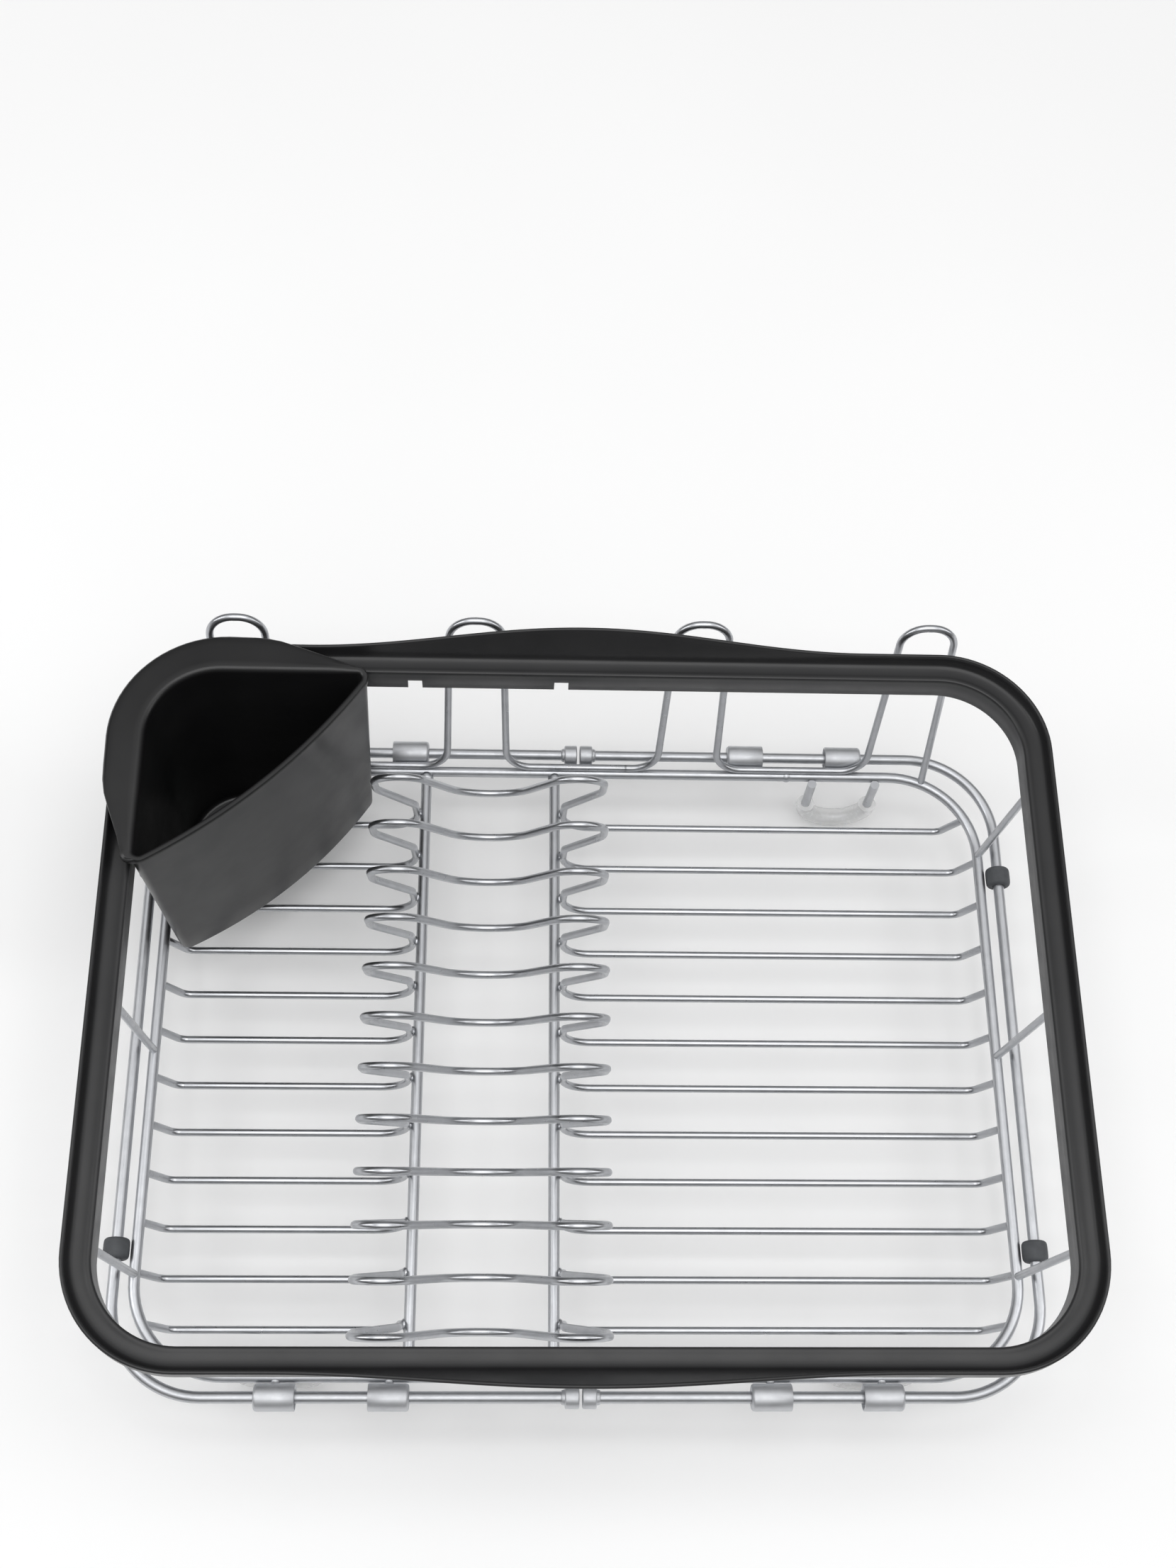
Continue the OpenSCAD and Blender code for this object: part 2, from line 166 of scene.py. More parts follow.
def set_range(node, from_low, from_high, to_low, to_high):
    """Sets the four numbers of a Map Range node."""
    for key, number in (
        ("From Min", from_low), ("From Max", from_high), ("To Min", to_low), ("To Max", to_high),
    ):
        node.inputs[key].default_value = number


class Nodes:
    """A small wrapper that adds and joins shader nodes."""

    def __init__(self, name):
        self.material = bpy.data.materials.new(name)
        self.material.use_nodes = True
        self.tree = self.material.node_tree
        self.shader = self.tree.nodes["Principled BSDF"]
        self.place = self.add("ShaderNodeTexCoord").outputs["Object"]

    def add(self, kind, **settings):
        node = self.tree.nodes.new(kind)
        for key, value in settings.items():
            setattr(node, key, value)
        return node

    def link(self, output, socket):
        self.tree.links.new(output, socket)

    def set(self, **values):
        for key, value in values.items():
            self.shader.inputs[key.replace("_", " ")].default_value = value

    def noise(self, scale, detail=3, roughness=0.55):
        node = self.add("ShaderNodeTexNoise")
        node.inputs["Scale"].default_value = scale
        node.inputs["Detail"].default_value = detail
        node.inputs["Roughness"].default_value = roughness
        self.link(self.place, node.inputs["Vector"])
        return node.outputs["Fac"]

    def span(self, value, low, high, from_low=0.3, from_high=0.7):
        """Maps a noise value to a range."""
        node = self.add("ShaderNodeMapRange")
        set_range(node, from_low, from_high, low, high)
        self.link(value, node.inputs["Value"])
        return node.outputs["Result"]

    def colour_between(self, value, dark, light):
        """Base colour between two colours; 6, 7 and 2 are the Mix node's colour sockets."""
        node = self.add("ShaderNodeMix", data_type="RGBA")
        self.link(value, node.inputs["Factor"])
        node.inputs[6].default_value = (*dark, 1)
        node.inputs[7].default_value = (*light, 1)
        self.link(node.outputs[2], self.shader.inputs["Base Color"])

    def bump(self, layers):
        """Bump from (value, height in metres) layers."""
        normal = None
        for value, height in layers:
            node = self.add("ShaderNodeBump")
            node.inputs["Distance"].default_value = height
            self.link(value, node.inputs["Height"])
            if normal is not None:
                self.link(normal, node.inputs["Normal"])
            normal = node.outputs["Normal"]
        self.link(normal, self.shader.inputs["Normal"])


def satin_metal(name, dark, light, rough=(0.26, 0.34)):
    """Silver plating on steel, faintly cloudy, with a slow ripple and a fine grain."""
    m = Nodes(name)
    m.set(Metallic=1.0)
    m.colour_between(m.span(m.noise(140, 4), 0, 1), dark, light)
    m.link(m.span(m.noise(420, 3), *rough), m.shader.inputs["Roughness"])
    m.bump([(m.noise(500, 2), 0.003 * MM), (m.noise(3600, 2), 0.0008 * MM)])
    return m.material


def moulded_plastic(name, dark, light, rough, specular, grain=0.02):
    """Charcoal plastic from a finely eroded mould, with a grain that is grain millimetres deep."""
    m = Nodes(name)
    m.set(Metallic=0.0, IOR=1.5, Specular_IOR_Level=specular)
    m.colour_between(m.span(m.noise(35, 3), 0, 1), dark, light)
    m.link(m.span(m.noise(60, 4), *rough), m.shader.inputs["Roughness"])
    m.bump([(m.noise(2600, 2), grain * MM), (m.noise(90, 2), 0.04 * MM)])
    return m.material


def grey_rubber(name):
    """Dull grey rubber with a dusty grain."""
    m = Nodes(name)
    m.set(Metallic=0.0, IOR=1.5, Specular_IOR_Level=0.3)
    m.colour_between(m.span(m.noise(180, 4), 0, 1), (0.062, 0.065, 0.07), (0.085, 0.09, 0.096))
    m.link(m.span(m.noise(300, 3), 0.55, 0.75), m.shader.inputs["Roughness"])
    m.bump([(m.noise(1800, 3), 0.03 * MM)])
    return m.material


def clear_sleeve(name):
    """Soft clear vinyl: a thin, slightly milky film that the wire shows through."""
    m = Nodes(name)
    m.set(Metallic=0.0, IOR=1.3, Transmission_Weight=0.05, Alpha=0.42, Specular_IOR_Level=0.3)
    m.colour_between(m.span(m.noise(250, 3), 0, 1), (0.95, 0.95, 0.94), (1, 1, 1))
    m.link(m.span(m.noise(500, 3), 0.2, 0.3), m.shader.inputs["Roughness"])
    return m.material


wire_metal = satin_metal("satin_wire", (0.42, 0.43, 0.45), (0.48, 0.49, 0.51), (0.27, 0.33))
arm_metal = satin_metal("satin_arm", (0.45, 0.46, 0.48), (0.51, 0.52, 0.54), (0.34, 0.42))
clip_metal = satin_metal("satin_clip", (0.52, 0.53, 0.55), (0.6, 0.61, 0.63), (0.46, 0.54))
weld_metal = satin_metal("weld", (0.42, 0.43, 0.45), (0.7, 0.71, 0.73), (0.2, 0.36))
rim_plastic = moulded_plastic(
    "rim_plastic", (0.014, 0.014, 0.0148), (0.018, 0.018, 0.0188), (0.3, 0.38), 0.36)
caddy_plastic = moulded_plastic(
    "caddy_plastic", (0.008, 0.008, 0.0085), (0.012, 0.012, 0.0125), (0.28, 0.38), 0.42)
rubber = grey_rubber("grey_rubber")
clear = clear_sleeve("clear_sleeve")

# A CAD node takes the material of the key that its name starts with.
CAD_MATERIALS = {
    "base_ring": arm_metal, "support_bar": arm_metal, "cross_wire": wire_metal, "hook_wire": wire_metal,
    "upright": wire_metal, "foot": wire_metal, "arm": arm_metal, "collar": clip_metal, "clip": clip_metal,
    "grip": rubber, "sleeve": clear, "rim": rim_plastic, "caddy": caddy_plastic,
}
for node_name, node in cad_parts.items():
    material = next(m for start, m in CAD_MATERIALS.items() if node_name.startswith(start))
    node.data.materials.clear()
    node.data.materials.append(material)

# ---------------------------------------------------------------- rim

# The rim's section in millimetres, as (outwards from the outer edge, up from the rim's top).
# The lip's third value says how far the handle's wave carries a point with it.
RIM_LIP = [
    (-1.6, -6.3, 0), (-1.3, -6.5, 0), (-0.3, -6.5, 0), (0, -6.2, 0), (0, -4.2, 0), (0, -2.4, 0),
    (0, -1.7, 0.02), (0, -1.2, 0.3), (0, -0.9, 0.7), (0, -0.75, 1), (-0.08, -0.4, 1),
    (-0.32, -0.13, 1), (-0.7, 0, 1), (-1.1, -0.1, 1), (-1.38, -0.35, 1), (-1.5, -0.65, 0.97),
    (-1.6, -0.95, 0.75), (-1.7, -1.4, 0.4), (-1.82, -2.0, 0.08), (-2.0, -2.6, 0), (-2.3, -3.5, 0),
]
RIM_TROUGH = [(-2.7, -4.2), (-3.3, -4.6), (-4.3, -4.82), (-5.6, -4.9), (-6.9, -4.85), (-7.7, -4.7)]
RIM_RIDGE = [(-8.3, -4.52), (-8.9, -4.5), (-9.35, -4.62), (-9.66, -4.9), (-9.8, -5.4), (-9.8, -6.2)]
RIM_UNDER = [(-8.4, -6.6), (-5, -6.45), (-1.6, -6.3)]
SKIRT_FOOT = [(-9.8, 0.4), (-9.5, 0), (-8.7, 0), (-8.4, 0.4)]  # up is from the skirt's end
SKIRT_END = -16.5
NOTCH_RISE = 5.7
NOTCHES = [(-69.25, -63.75), (-12.35, -6.85)]  # from and to along the back skirt
NOTCH_SIDE = 0.05  # width of a notch's side, which stands almost upright
NOTCH_CLEAR = 1  # no other station lies this near to a notch
CORNER_STEPS, LONG_STEPS, SHORT_STEPS = 22, 72, 12
UPRIGHT_TOP = 6.2 * MM  # the uprights end this far below the rim's top


def rim_section(wave, notch):
    """Section of the rim as (outwards, up) pairs in metres."""
    flare, rise = wave * HANDLE_FLARE / MM, wave * HANDLE_RISE / MM
    pairs = [(x + share * flare, z + share * rise) for x, z, share in RIM_LIP]
    pairs += RIM_TROUGH + RIM_RIDGE
    end = SKIRT_END + (NOTCH_RISE if notch else 0)
    pairs += [(-9.8, -8)] + [(x, end + z) for x, z in SKIRT_FOOT]
    pairs += RIM_UNDER
    return [(x * MM, z * MM) for x, z in pairs]


def rim_stations():
    """Places round the rim, as (point on the outer edge, outward direction, handle's share, in a notch)."""
    r = RIM_CORNER
    sx, sy = rim_half_l - r, rim_half_w - r
    found = []
    for side in range(4):
        turn = side * 90
        for x, y in arc((0, 0), 1, turn, turn + 90, CORNER_STEPS):
            corner = Vector((sx if side in (0, 3) else -sx, sy if side < 2 else -sy))
            found.append((corner + Vector((x, y)) * r, Vector((x, y)), 0, False))
        if side in (0, 2):
            way = -1 if side == 0 else 1
            xs = [(-sx + 2 * sx * i / LONG_STEPS, False) for i in range(1, LONG_STEPS)]
            if side == 0:
                for left, right in NOTCHES:
                    low, high = (left - NOTCH_CLEAR) * MM, (right + NOTCH_CLEAR) * MM
                    xs = [p for p in xs if not low < p[0] < high]
                    xs += [((left - NOTCH_SIDE) * MM, False), (left * MM, True),
                           ((left + right) / 2 * MM, True), (right * MM, True),
                           ((right + NOTCH_SIDE) * MM, False)]
                xs.sort()
            for x, notch in (xs if way > 0 else reversed(xs)):
                wave = (1 + math.cos(math.pi * x / HANDLE_HALF)) / 2 if abs(x) < HANDLE_HALF else 0
                found.append((Vector((x, -way * rim_half_w)), Vector((0, -way)), wave, notch))
        else:
            way = -1 if side == 1 else 1
            for i in range(1, SHORT_STEPS):
                point = Vector((way * rim_half_l, way * (-sy + 2 * sy * i / SHORT_STEPS)))
                found.append((point, Vector((way, 0)), 0, False))
    return found


def rim_socket(node):
    """A tapered boss under the rim round an upright's top."""
    lo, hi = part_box(node)
    side = 1 if lo.x > 0 else -1
    top = Vector((hi.x - WIRE_R if side > 0 else lo.x + WIRE_R, lo.y + WIRE_R, rim_top - UPRIGHT_TOP))
    foot = Vector((lo.x + WIRE_R if side > 0 else hi.x - WIRE_R, hi.y - WIRE_R, lo.z))
    along = (top - foot).normalized()
    place = Matrix.Translation(top) @ along.to_track_quat("Z", "Y").to_matrix().to_4x4()
    inner = WIRE_R + 0.02 * MM
    profile = [(inner, 0.4 * MM), (3.0 * MM, 0.4 * MM), (2.9 * MM, -5.9 * MM), (2.5 * MM, -6.4 * MM),
               (1.9 * MM, -6.4 * MM), (inner, -6.0 * MM)]
    return lathe(profile, place, 32)


def make_rim():
    rings = []
    for point, out, wave, notch in rim_stations():
        rings.append([(point.x + out.x * x, point.y + out.y * x + rim_mid_y, rim_top + z)
                      for x, z in rim_section(wave, notch)])
    uprights = [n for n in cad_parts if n.startswith("upright")]
    parts = [loft(rings, closed=True)] + [rim_socket(n) for n in uprights]
    piece = new_piece("rim_moulding", *join_parts(parts), rim_plastic, 50)
    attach(piece, "rack")
    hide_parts("rim")


# ---------------------------------------------------------------- caddy

# All of the caddy is in millimetres until its rings are done.
CUP_WALL = 2.0
GAP_LEFT, GAP_BACK = 0.4, 2.4  # between the cup's brim and the rim's inner edge
BRIM_UP = 3.9  # above the rim's top
CUP_TIP = 4.0  # radius of the two narrow ends of the cup's plan
LEAST_TIP = 0.15
CUP_FOOT = 2.6  # radius round the cup's foot, outside
CUP_FLOOR = 1.8  # radius round the cup's floor, inside
BULGE = 6.0  # how far the front wall stands out from straight
BEAD = 1.25  # radius of the brim's edge where it has no flange
BEAD_DROP = 2.9  # depth of that edge
BEAD_REACH = 0.45  # how far it stands out from the wall
FLANGE_OVER = 2.8  # how far the flange reaches past the rim
FLANGE_T = 1.3
FLANGE_SLOPE = 0.2
FLANGE_BLEND = 1.5
SKIRT_DROP = 5.2
FILLET = 2.3  # radius from the flange down into the cup
STEPS = {"corner": 20, "left": 8, "tip": 12, "front": 48, "back": 10}
WALL_RINGS = 8

cup_left = -rim_half_l / MM + RIM_BAND / MM + GAP_LEFT
cup_back = (rim_mid_y + rim_half_w) / MM - RIM_BAND / MM - GAP_BACK
cup_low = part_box("caddy")[0].z / MM
cup_brim = rim_top / MM + BRIM_UP


def cup_shape(level):
    """The cup's plan at a level from 0, its floor, to 1, its brim.

    Gives the corner's centre and radius, the left tip's centre and the right tip's centre.
    """
    def between(low, high):
        return low + (high - low) * level

    left, back = cup_left + between(4.7, 0), cup_back - between(7.8, 0)
    radius = between(24, 28.8)
    corner = Vector((left + radius, back - radius))
    tip_left = Vector((left + CUP_TIP, cup_back - between(74.2, 75.9)))
    tip_right = Vector((between(-91, -88), back - CUP_TIP))
    return corner, radius, tip_left, tip_right


def cup_outline(level, inset):
    """Closed plan of the cup from the back wall's left end, as (point, outward direction, kind)."""
    corner, radius, tip_left, tip_right = cup_shape(level)
    tip_r = max(CUP_TIP - inset, LEAST_TIP)
    found = []
    for x, y in arc((0, 0), 1, 90, 180, STEPS["corner"]):
        found.append((corner + Vector((x, y)) * (radius - inset), Vector((x, y)), "corner"))
    left_top = corner + Vector((-(radius - inset), 0))
    left_low = tip_left + Vector((-(CUP_TIP - inset), 0))
    for i in range(1, STEPS["left"]):
        found.append((left_top.lerp(left_low, i / STEPS["left"]), Vector((-1, 0)), "left"))
    chord = (tip_right - tip_left) / 2
    mid = (tip_right + tip_left) / 2
    out = Vector((chord.y, -chord.x)).normalized()

    def front_normal(t):
        along = chord - 2 * t * BULGE * out
        return Vector((along.y, -along.x)).normalized()

    start = math.degrees(math.atan2(front_normal(-1).y, front_normal(-1).x)) % 360
    for x, y in arc((0, 0), 1, 180, start, STEPS["tip"]):
        found.append((tip_left + Vector((x, y)) * tip_r, Vector((x, y)), "tip_left"))
    for i in range(1, STEPS["front"]):
        t = -1 + 2 * i / STEPS["front"]
        n = front_normal(t)
        bow = mid + t * chord + (1 - t * t) * BULGE * out
        found.append((bow + n * (CUP_TIP - inset), n, "front"))
    end = math.degrees(math.atan2(front_normal(1).y, front_normal(1).x)) % 360
    for x, y in arc((0, 0), 1, end, 450, STEPS["tip"]):
        found.append((tip_right + Vector((x, y)) * tip_r, Vector((x, y)), "tip_right"))
    back_right = tip_right + Vector((0, CUP_TIP - inset))
    back_left = corner + Vector((0, radius - inset))
    for i in range(1, STEPS["back"]):
        found.append((back_right.lerp(back_left, i / STEPS["back"]), Vector((0, 1)), "back"))
    return found


FLANGE_X = -rim_half_l / MM - FLANGE_OVER
FLANGE_Y = (rim_mid_y + rim_half_w) / MM + FLANGE_OVER
FLANGE_R = RIM_CORNER / MM + FLANGE_OVER
FLANGE_C = Vector((FLANGE_X + FLANGE_R, FLANGE_Y - FLANGE_R))


def flange_point(point, out, kind):
    """Where the flange's outer edge lies, seen from a point of the cup's brim."""
    corner, radius, tip_left, tip_right = cup_shape(1)
    if kind == "corner":
        return FLANGE_C + out * FLANGE_R
    if kind == "left":
        share = (point.y - tip_left.y) / (corner.y - tip_left.y)
        y = tip_left.y + share * (FLANGE_C.y - tip_left.y)
        cut = cup_left - 2.6 - (y - tip_left.y) * 0.38
        return Vector((soft_max(FLANGE_X, cut, FLANGE_BLEND), y))
    if kind == "back":
        share = (tip_right.x - point.x) / (tip_right.x - corner.x)
        x = tip_right.x + share * (FLANGE_C.x - tip_right.x)
        cut = cup_back + 1.2 + (tip_right.x - x) * 0.4
        return Vector((x, -soft_max(-FLANGE_Y, -cut, FLANGE_BLEND)))
    reach = BEAD_REACH
    if kind == "tip_left":
        reach += 2.6 * smooth_step((-out.x - 0.2) / 0.8)
    if kind == "tip_right":
        reach += 0.8 * smooth_step((out.y - 0.3) / 0.7)
    return point + out * reach


def beyond_rim(point):
    """How far a point in plan lies outside the rim's outer edge, in millimetres."""
    r = RIM_CORNER / MM
    x = abs(point.x) - (rim_half_l / MM - r)
    y = abs(point.y - rim_mid_y / MM) - (rim_half_w / MM - r)
    if x > 0 and y > 0:
        return math.hypot(x, y) - r
    return max(x, y) - r


def make_caddy():
    """One closed surface: up the outer wall, under and over the flange, and down the inner wall.

    At each place round the brim, spread says how far the flange is a flange and not a plain edge,
    and over how far it reaches past the rim.
    """
    brim = cup_outline(1, 0)
    edges = [flange_point(*p) for p in brim]
    widths = [(e - p[0]).length for e, p in zip(edges, brim)]
    spread = [smooth_step((w - BEAD_REACH) / 5) for w in widths]
    over = [smooth_step((beyond_rim(e) - 0.8) / 1.6) for e in edges]
    height = cup_brim - cup_low
    rings = []

    def level_ring(inset, z):
        level = min(1.0, max(0.0, (z - cup_low) / height))
        rings.append([(p.x, p.y, z) for p, _, _ in cup_outline(level, inset)])

    def shaped_ring(place):
        rings.append([place(i) for i in range(len(brim))])

    for x, y in arc((0, 0), CUP_FOOT, -90, 0, 6):
        level_ring(CUP_FOOT - x, cup_low + CUP_FOOT + y)
    for i in range(1, WALL_RINGS + 1):
        level_ring(0, cup_low + CUP_FOOT + i * (height - 9.6) / WALL_RINGS)

    def top_at(i, share):
        return cup_brim - FLANGE_SLOPE * widths[i] * share

    def wall_end(i):
        bead = cup_brim - BEAD_DROP
        return bead + (top_at(i, 0) - FLANGE_T - bead) * spread[i]

    def shaped(i, share, z, pull=0.0):
        p = brim[i][0].lerp(edges[i], share)
        if pull:
            p = p - (edges[i] - brim[i][0]).normalized() * pull
        return (p.x, p.y, z)

    shaped_ring(lambda i: shaped(i, 0, wall_end(i) - 0.7))
    shaped_ring(lambda i: shaped(i, 0, wall_end(i)))
    skirt_in = [min(1.9, max(0.25, beyond_rim(e) - 0.5)) * o + 0.3 * (1 - o) for e, o in zip(edges, over)]

    def under(i, share):
        flat = top_at(i, share) - FLANGE_T
        return flat * spread[i] + wall_end(i) * (1 - spread[i])

    for share in (0.3, 0.65):
        shaped_ring(lambda i, s=share: shaped(i, s, under(i, s)))
    shaped_ring(lambda i: shaped(i, 1, under(i, 1), min(skirt_in[i] + 0.25 * spread[i], widths[i] * 0.45)))
    drop = [SKIRT_DROP * o for o in over]

    def skirt_bottom(i):
        return under(i, 1) - max(0.0, drop[i] - (top_at(i, 1) - under(i, 1)))

    shaped_ring(lambda i: shaped(i, 1, skirt_bottom(i) + 0.3 * over[i], min(skirt_in[i], widths[i] * 0.4)))
    shaped_ring(lambda i: shaped(i, 1, skirt_bottom(i), min(skirt_in[i] * 0.75, widths[i] * 0.3)))
    shaped_ring(lambda i: shaped(i, 1, skirt_bottom(i), 0.25 * spread[i]))
    shaped_ring(lambda i: shaped(i, 1, skirt_bottom(i) + 0.3))
    round_r = [0.75 + 0.85 * over[i] + 0.1 * spread[i] for i in range(len(brim))]
    bead_r = [BEAD * (1 - spread[i]) + round_r[i] * spread[i] for i in range(len(brim))]
    for a in (0, 22, 45, 68, 90):
        c, s = math.cos(math.radians(a)), math.sin(math.radians(a))
        shaped_ring(lambda i, c=c, s=s: shaped(
            i, 1, top_at(i, 1) - bead_r[i] * (1 - s) + FLANGE_SLOPE * bead_r[i] * (1 - c) * spread[i],
            bead_r[i] * (1 - c)))
    for share in (0.8, 0.6, 0.4, 0.2):
        def slope(i, s=share):
            start = widths[i] - bead_r[i]
            reach = max(start, 0) * s + (1 - s) * 0.2
            share_out = reach / widths[i] if widths[i] > 0.6 else 0.4 * s
            return shaped(i, share_out, top_at(i, share_out) * spread[i] + cup_brim * (1 - spread[i]))

        shaped_ring(slope)
    fillet = [FILLET * spread[i] + BEAD * (1 - spread[i]) for i in range(len(brim))]
    inner = cup_outline(1, CUP_WALL)
    for a in (90, 72, 54, 36, 18, 0):
        c, s = math.cos(math.radians(a)), math.sin(math.radians(a))

        def rolled(i, c=c, s=s):
            p = inner[i][0] + inner[i][1] * fillet[i] * (1 - c)
            if inner[i][2] in ("tip_left", "tip_right", "front"):
                p = inner[i][0] + inner[i][1] * min(fillet[i], BEAD + 0.8 * spread[i]) * (1 - c)
            return (p.x, p.y, cup_brim - fillet[i] * (1 - s))

        shaped_ring(rolled)
    for i in range(1, WALL_RINGS + 1):
        level_ring(CUP_WALL, cup_brim - 4.2 - i * (height - 10) / WALL_RINGS)
    for x, y in arc((0, 0), CUP_FLOOR, 0, -90, 5):
        level_ring(CUP_WALL + CUP_FLOOR - x, cup_low + CUP_WALL + CUP_FLOOR + y)
    rings_m = [[Vector(p) * MM for p in ring] for ring in rings]
    verts, faces = loft(rings_m)
    piece = new_piece("caddy_moulding", verts, faces, caddy_plastic, 40)
    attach(piece, "lift_out_caddy")
    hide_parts("caddy")


# ---------------------------------------------------------------- sliding arms' fittings


def make_clip(node):
    """A drawn tube, closed down round the arm's wire at one end and open at the other, on a weld stub."""
    end = -1 if "front" in node else 1
    index = int(node[-1])
    outer = index in (1, 4)
    side = -1 if index < 3 else 1
    flip = side if outer else -side
    lo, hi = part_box(node)
    half = (hi.x - lo.x) / 2
    centre = Vector(((lo.x + hi.x) / 2, rack_mid_y + end * arm_half_w, arm_z))
    tube, bore, hole, shoulder = 5.0 * MM, 4.2 * MM, 2.28 * MM, 1.3 * MM
    profile = [(hole, half), (hole + 0.5 * MM, half)]
    profile += arc((tube - shoulder, half - shoulder), shoulder, 90, 0, 6)
    profile += [(tube, 0), (tube, -half + 0.25 * MM), (tube - 0.2 * MM, -half),
                (bore + 0.2 * MM, -half), (bore, -half + 0.25 * MM), (bore, 0),
                (bore, half - 2.2 * MM), (bore - 0.4 * MM, half - 1.8 * MM),
                (hole, half - 1.8 * MM)]
    tube_part = lathe(profile, along_x(centre, flip), 56)
    ring_axis = Vector((centre.x, rack_mid_y + end * (arm_half_w - 7.6 * MM), ring_z))
    way = (ring_axis - centre).normalized()
    place = Matrix.Translation(centre) @ way.to_track_quat("Z", "X").to_matrix().to_4x4()
    reach = (ring_axis - centre).length - RING_R
    stub = [(0.02 * MM, 4.6 * MM), (1.7 * MM, 4.6 * MM), (1.6 * MM, 5.1 * MM), (1.5 * MM, reach - 0.3 * MM),
            (1.7 * MM, reach + 0.4 * MM), (0.02 * MM, reach + 0.4 * MM)]
    piece = new_piece(node + "_tube", *join_parts([tube_part, lathe(stub, place, 24)]), clip_metal, 40)
    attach(piece, "rack")
    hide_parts(node)


def make_collar(node):
    """Stop collar with rounded edges and a rough weld where the arm's wire enters it."""
    side = -1 if "left" in node else 1
    lo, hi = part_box(node)
    body = "left_arm" if side < 0 else "right_arm"
    start = Vector((lo.x if side > 0 else hi.x, (lo.y + hi.y) / 2, (lo.z + hi.z) / 2))
    r, length, e = 4.1 * MM, 5.3 * MM, 0.55 * MM
    wire = RING_R - 0.05 * MM
    profile = [(0.02 * MM, 0.0)] + arc((r - e, e), e, -90, 0, 4)
    profile += arc((r - e, length - e), e, 0, 90, 4)
    profile += [(2.85 * MM, length), (2.78 * MM, length + 0.6 * MM), (2.6 * MM, length + 1.2 * MM),
                (wire, length + 1.45 * MM), (0.02 * MM, length + 1.4 * MM)]
    verts, faces = lathe(profile, along_x(start, side), 48)
    rough = []
    for v in verts:
        depth = (v.x - start.x) * side
        shift = noise.noise(v * 1400) * 0.16 * MM if depth > length + 0.1 * MM else 0
        out = Vector((0, v.y - start.y, v.z - start.z))
        rough.append(v + out.normalized() * shift if out.length > 0.5 * MM else v)
    piece = new_piece(node + "_turned", rough, faces, clip_metal, 40)
    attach(piece, body)
    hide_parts(node)


def make_grip(node):
    """Rubber ring with rounded shoulders and a faint mould line."""
    body = "left_arm" if "left" in node else "right_arm"
    lo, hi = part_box(node)
    half, r, e = (hi.y - lo.y) / 2, (hi.x - lo.x) / 2, 1.5 * MM
    wire = RING_R - 0.03 * MM
    profile = [(wire, -half + 0.3 * MM), (wire + 0.4 * MM, -half)]
    profile += arc((r - e - 0.1 * MM, -half + e), e, -90, 0, 6)
    profile += [(r - 0.02 * MM, -half * 0.4), (r - 0.02 * MM, -0.3 * MM), (r, 0), (r - 0.02 * MM, 0.3 * MM),
                (r - 0.02 * MM, half * 0.4)]
    profile += arc((r - e - 0.1 * MM, half - e), e, 0, 90, 6)
    profile += [(wire + 0.4 * MM, half), (wire, half - 0.3 * MM)]
    piece = new_piece(node + "_ring", *lathe(profile, along_y((lo + hi) / 2), 56), rubber, 60)
    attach(piece, body)
    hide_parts(node)


# ---------------------------------------------------------------- feet


def u_path(centre, half, top, low, steps=28):
    """Points down one leg of a U, round its bottom and up the other, in the XZ plane."""
    points = [Vector((centre.x - half, centre.y, z)) for z in (top, (top + low + half) / 2)]
    for x, z in arc((0, 0), half, 180, 360, steps):
        points.append(Vector((centre.x + x, centre.y, low + half + z)))
    points += [Vector((centre.x + half, centre.y, z)) for z in ((top + low + half) / 2, top)]
    return points


def tube_rings(points, radius, sides=28):
    """Rings of a round tube along points in one XZ plane."""
    rings = []
    for i, p in enumerate(points):
        along = (points[min(i + 1, len(points) - 1)] - points[max(i - 1, 0)]).normalized()
        across = Vector((0, 1, 0)).cross(along)
        rings.append([p + across * radius * math.cos(a) + Vector((0, 1, 0)) * radius * math.sin(a)
                      for a in (2 * math.pi * j / sides for j in range(sides))])
    return rings


def make_sleeve(node):
    """Clear tube pushed over a foot's loop, a little worn flat where it stands."""
    lo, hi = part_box(node)
    outer = (hi.y - lo.y) / 2
    inner = 1.93 * MM
    half = (hi.x - lo.x) / 2 - outer
    low = lo.z - 0.4 * MM + outer
    points = u_path((lo + hi) / 2, half, hi.z, low)
    rings = tube_rings(points, outer) + tube_rings(points, inner)[::-1]
    verts, faces = loft(rings, closed=True)
    verts = [Vector((v.x, v.y, max(v.z, lo.z))) for v in verts]
    piece = new_piece(node + "_vinyl", verts, faces, clear, 40)
    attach(piece, "rack")
    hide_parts(node)


# ---------------------------------------------------------------- welds


def weld_bead(centre, sizes):
    """A small lumpy drop of weld metal, with half sizes along X, Y and Z in millimetres."""
    ball = [(0.001, -0.98)] + arc((0, 0), 1, -90, 90, 8)[1:-1] + [(0.001, 0.98)]
    verts, faces = lathe(ball, Matrix(), 14)
    grown = []
    for v in verts:
        place = centre + Vector((v.x * sizes[0], v.y * sizes[1], v.z * sizes[2])) * MM
        grown.append(place + (place - centre) * 0.22 * noise.noise(place * 1100))
    return grown, faces


def make_welds(node):
    """Beads where a floor wire meets the two support bars and the ring."""
    lo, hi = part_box(node)
    y = hi.y - WIRE_R
    parts = []
    for x in bar_x:
        for side in (-1, 1):
            if (side < 0) == (x == bar_x[0]):
                parts.append(weld_bead(Vector((x + side * (RING_R + 0.1 * MM), y, ring_z)), (1.2, 2.1, 1.7)))
    for x, side in ((lo.x, 1), (hi.x, -1)):
        parts.append(weld_bead(Vector((x + side * 0.9 * MM, y, ring_z - 0.9 * MM)), (1.1, 1.9, 1.5)))
    piece = new_piece(node + "_welds", *join_parts(parts), weld_metal, 60)
    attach(piece, "rack")


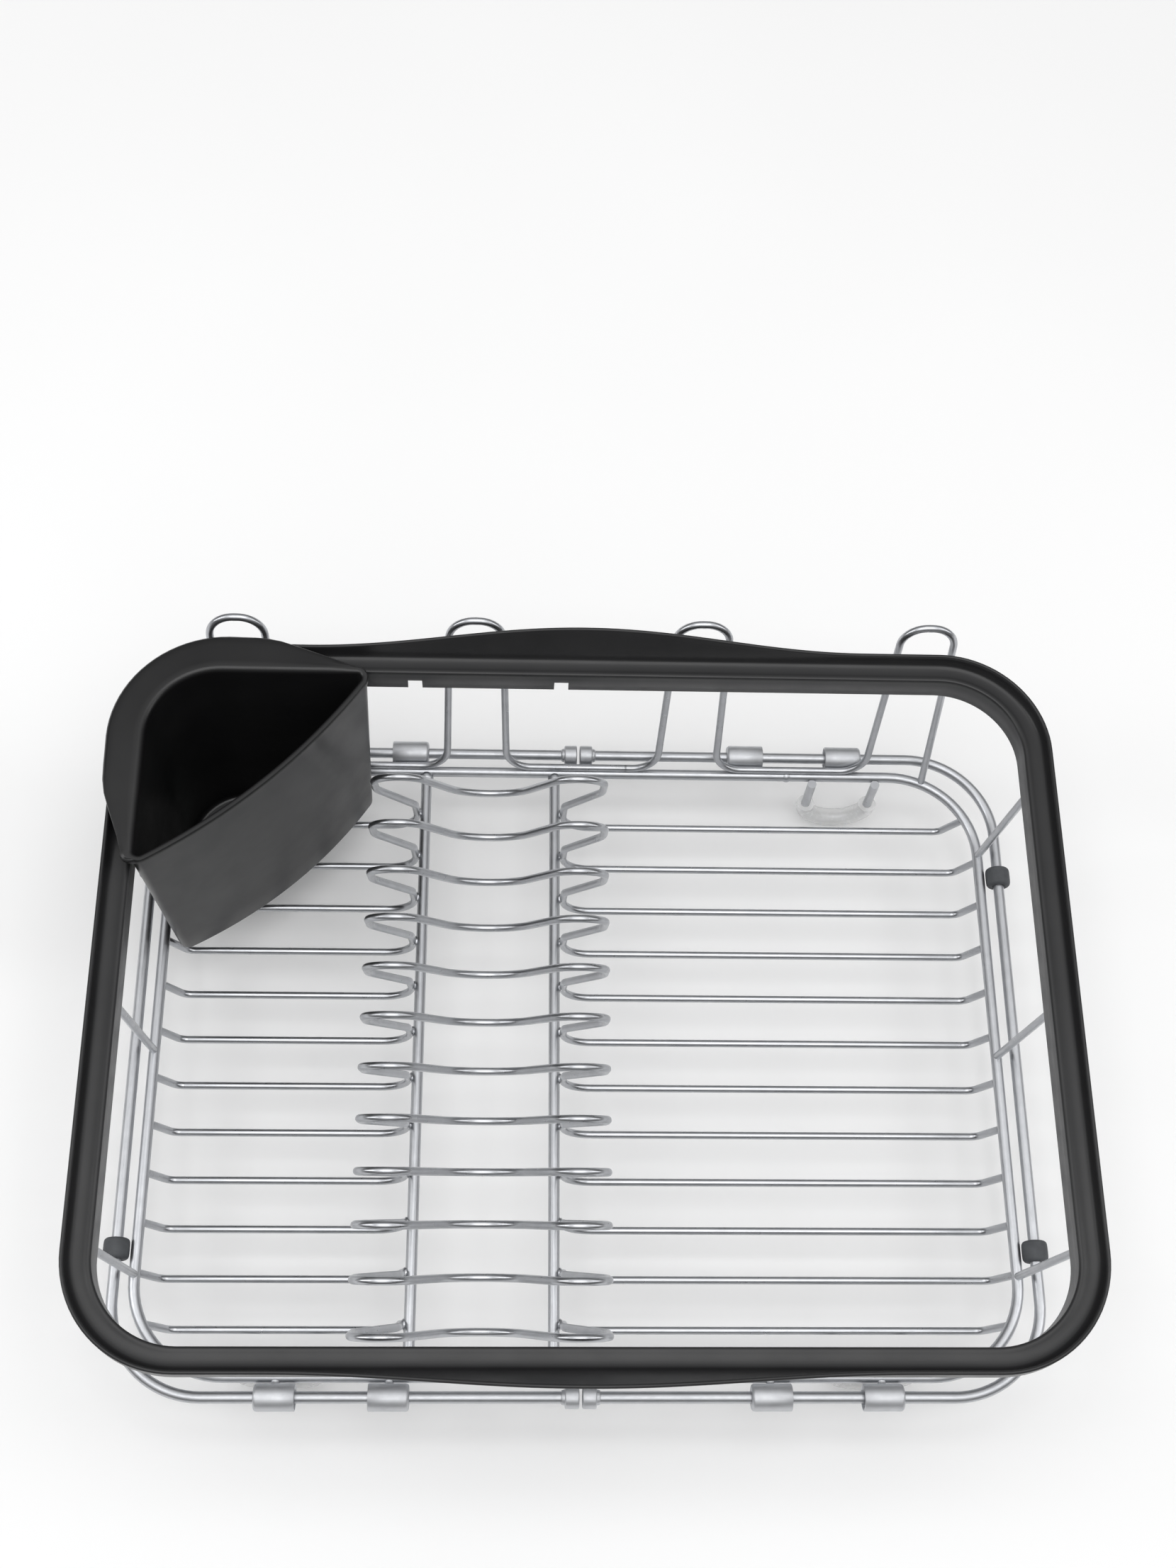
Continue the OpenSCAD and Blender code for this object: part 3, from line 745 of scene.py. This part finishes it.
# ---------------------------------------------------------------- camera, light and floor


def make_camera():
    """The viewing angle of the reference picture."""
    camera = bpy.data.objects.new("camera", bpy.data.cameras.new("camera"))
    bpy.context.scene.collection.objects.link(camera)
    camera.location = Vector((-31.17 * MM, -231.99 * MM, ring_z + 759.1 * MM))
    below_horizon, yaw, roll = math.radians(65.21), math.radians(-5.79), math.radians(6.02)
    turn = Matrix.Rotation(yaw, 3, "Z") @ Matrix.Rotation(math.pi / 2 - below_horizon, 3, "X")
    camera.rotation_euler = (turn @ Matrix.Rotation(roll, 3, "Z")).to_euler()
    camera.data.sensor_width = 36
    camera.data.lens = 45.18
    camera.data.clip_start = 0.01
    bpy.context.scene.camera = camera


def area_light(name, where, aim, size, watts, colour=(1, 1, 1)):
    light = bpy.data.lights.new(name, "AREA")
    light.shape = "RECTANGLE"
    light.size, light.size_y = size
    light.energy = watts
    light.color = colour
    lamp = bpy.data.objects.new(name, light)
    bpy.context.scene.collection.objects.link(lamp)
    lamp.location = where
    lamp.rotation_euler = (Vector(aim) - Vector(where)).to_track_quat("-Z", "Y").to_euler()


def make_light():
    """A bright ceiling that falls off to a dim horizon, brighter to the right, with three softboxes."""
    world = bpy.data.worlds.new("studio")
    bpy.context.scene.world = world
    world.use_nodes = True
    tree = world.node_tree
    place = tree.nodes.new("ShaderNodeTexCoord")
    parts = tree.nodes.new("ShaderNodeSeparateXYZ")
    tree.links.new(place.outputs["Generated"], parts.inputs[0])
    height = tree.nodes.new("ShaderNodeMapRange")
    height.interpolation_type = "SMOOTHSTEP"
    set_range(height, 0.3, 0.98, 0.12, 1.05)
    tree.links.new(parts.outputs["Z"], height.inputs["Value"])
    side = tree.nodes.new("ShaderNodeMapRange")
    set_range(side, -1, 1, 0.88, 1.12)
    tree.links.new(parts.outputs["X"], side.inputs["Value"])
    product = tree.nodes.new("ShaderNodeMath")
    product.operation = "MULTIPLY"
    tree.links.new(height.outputs["Result"], product.inputs[0])
    tree.links.new(side.outputs["Result"], product.inputs[1])
    tree.nodes["Background"].inputs["Color"].default_value = (1, 1, 1, 1)
    tree.links.new(product.outputs[0], tree.nodes["Background"].inputs["Strength"])
    area_light("overhead", (0, -0.35, 2.2), (0, -0.3, 0), (1.7, 1.7), 18.5)
    area_light("left", (-1.5, 0.0, 1.1), (-0.1, 0, 0.05), (0.5, 1.3), 7.5)
    area_light("right", (1.5, 0.0, 1.1), (0.1, 0, 0.05), (0.5, 1.3), 5.5)
    bpy.context.scene.view_settings.view_transform = "Standard"


def make_floor():
    m = Nodes("floor_paper")
    m.set(Metallic=0.0)
    m.colour_between(m.span(m.noise(3, 2), 0, 1), (0.86, 0.86, 0.86), (0.88, 0.88, 0.88))
    m.shader.inputs["Roughness"].default_value = 0.9
    m.shader.inputs["Specular IOR Level"].default_value = 0.2
    size = 14.0
    verts = [(-size, -size, 0), (size, -size, 0), (size, size, 0), (-size, size, 0)]
    new_piece("floor", verts, [(0, 1, 2, 3)], m.material)


make_camera()
make_light()
make_floor()
make_rim()
make_caddy()
for start, make in (
    ("clip", make_clip), ("collar", make_collar), ("grip", make_grip), ("sleeve", make_sleeve),
):
    for name in [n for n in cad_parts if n.startswith(start)]:
        make(name)
for name in cross_wires:
    make_welds(name)
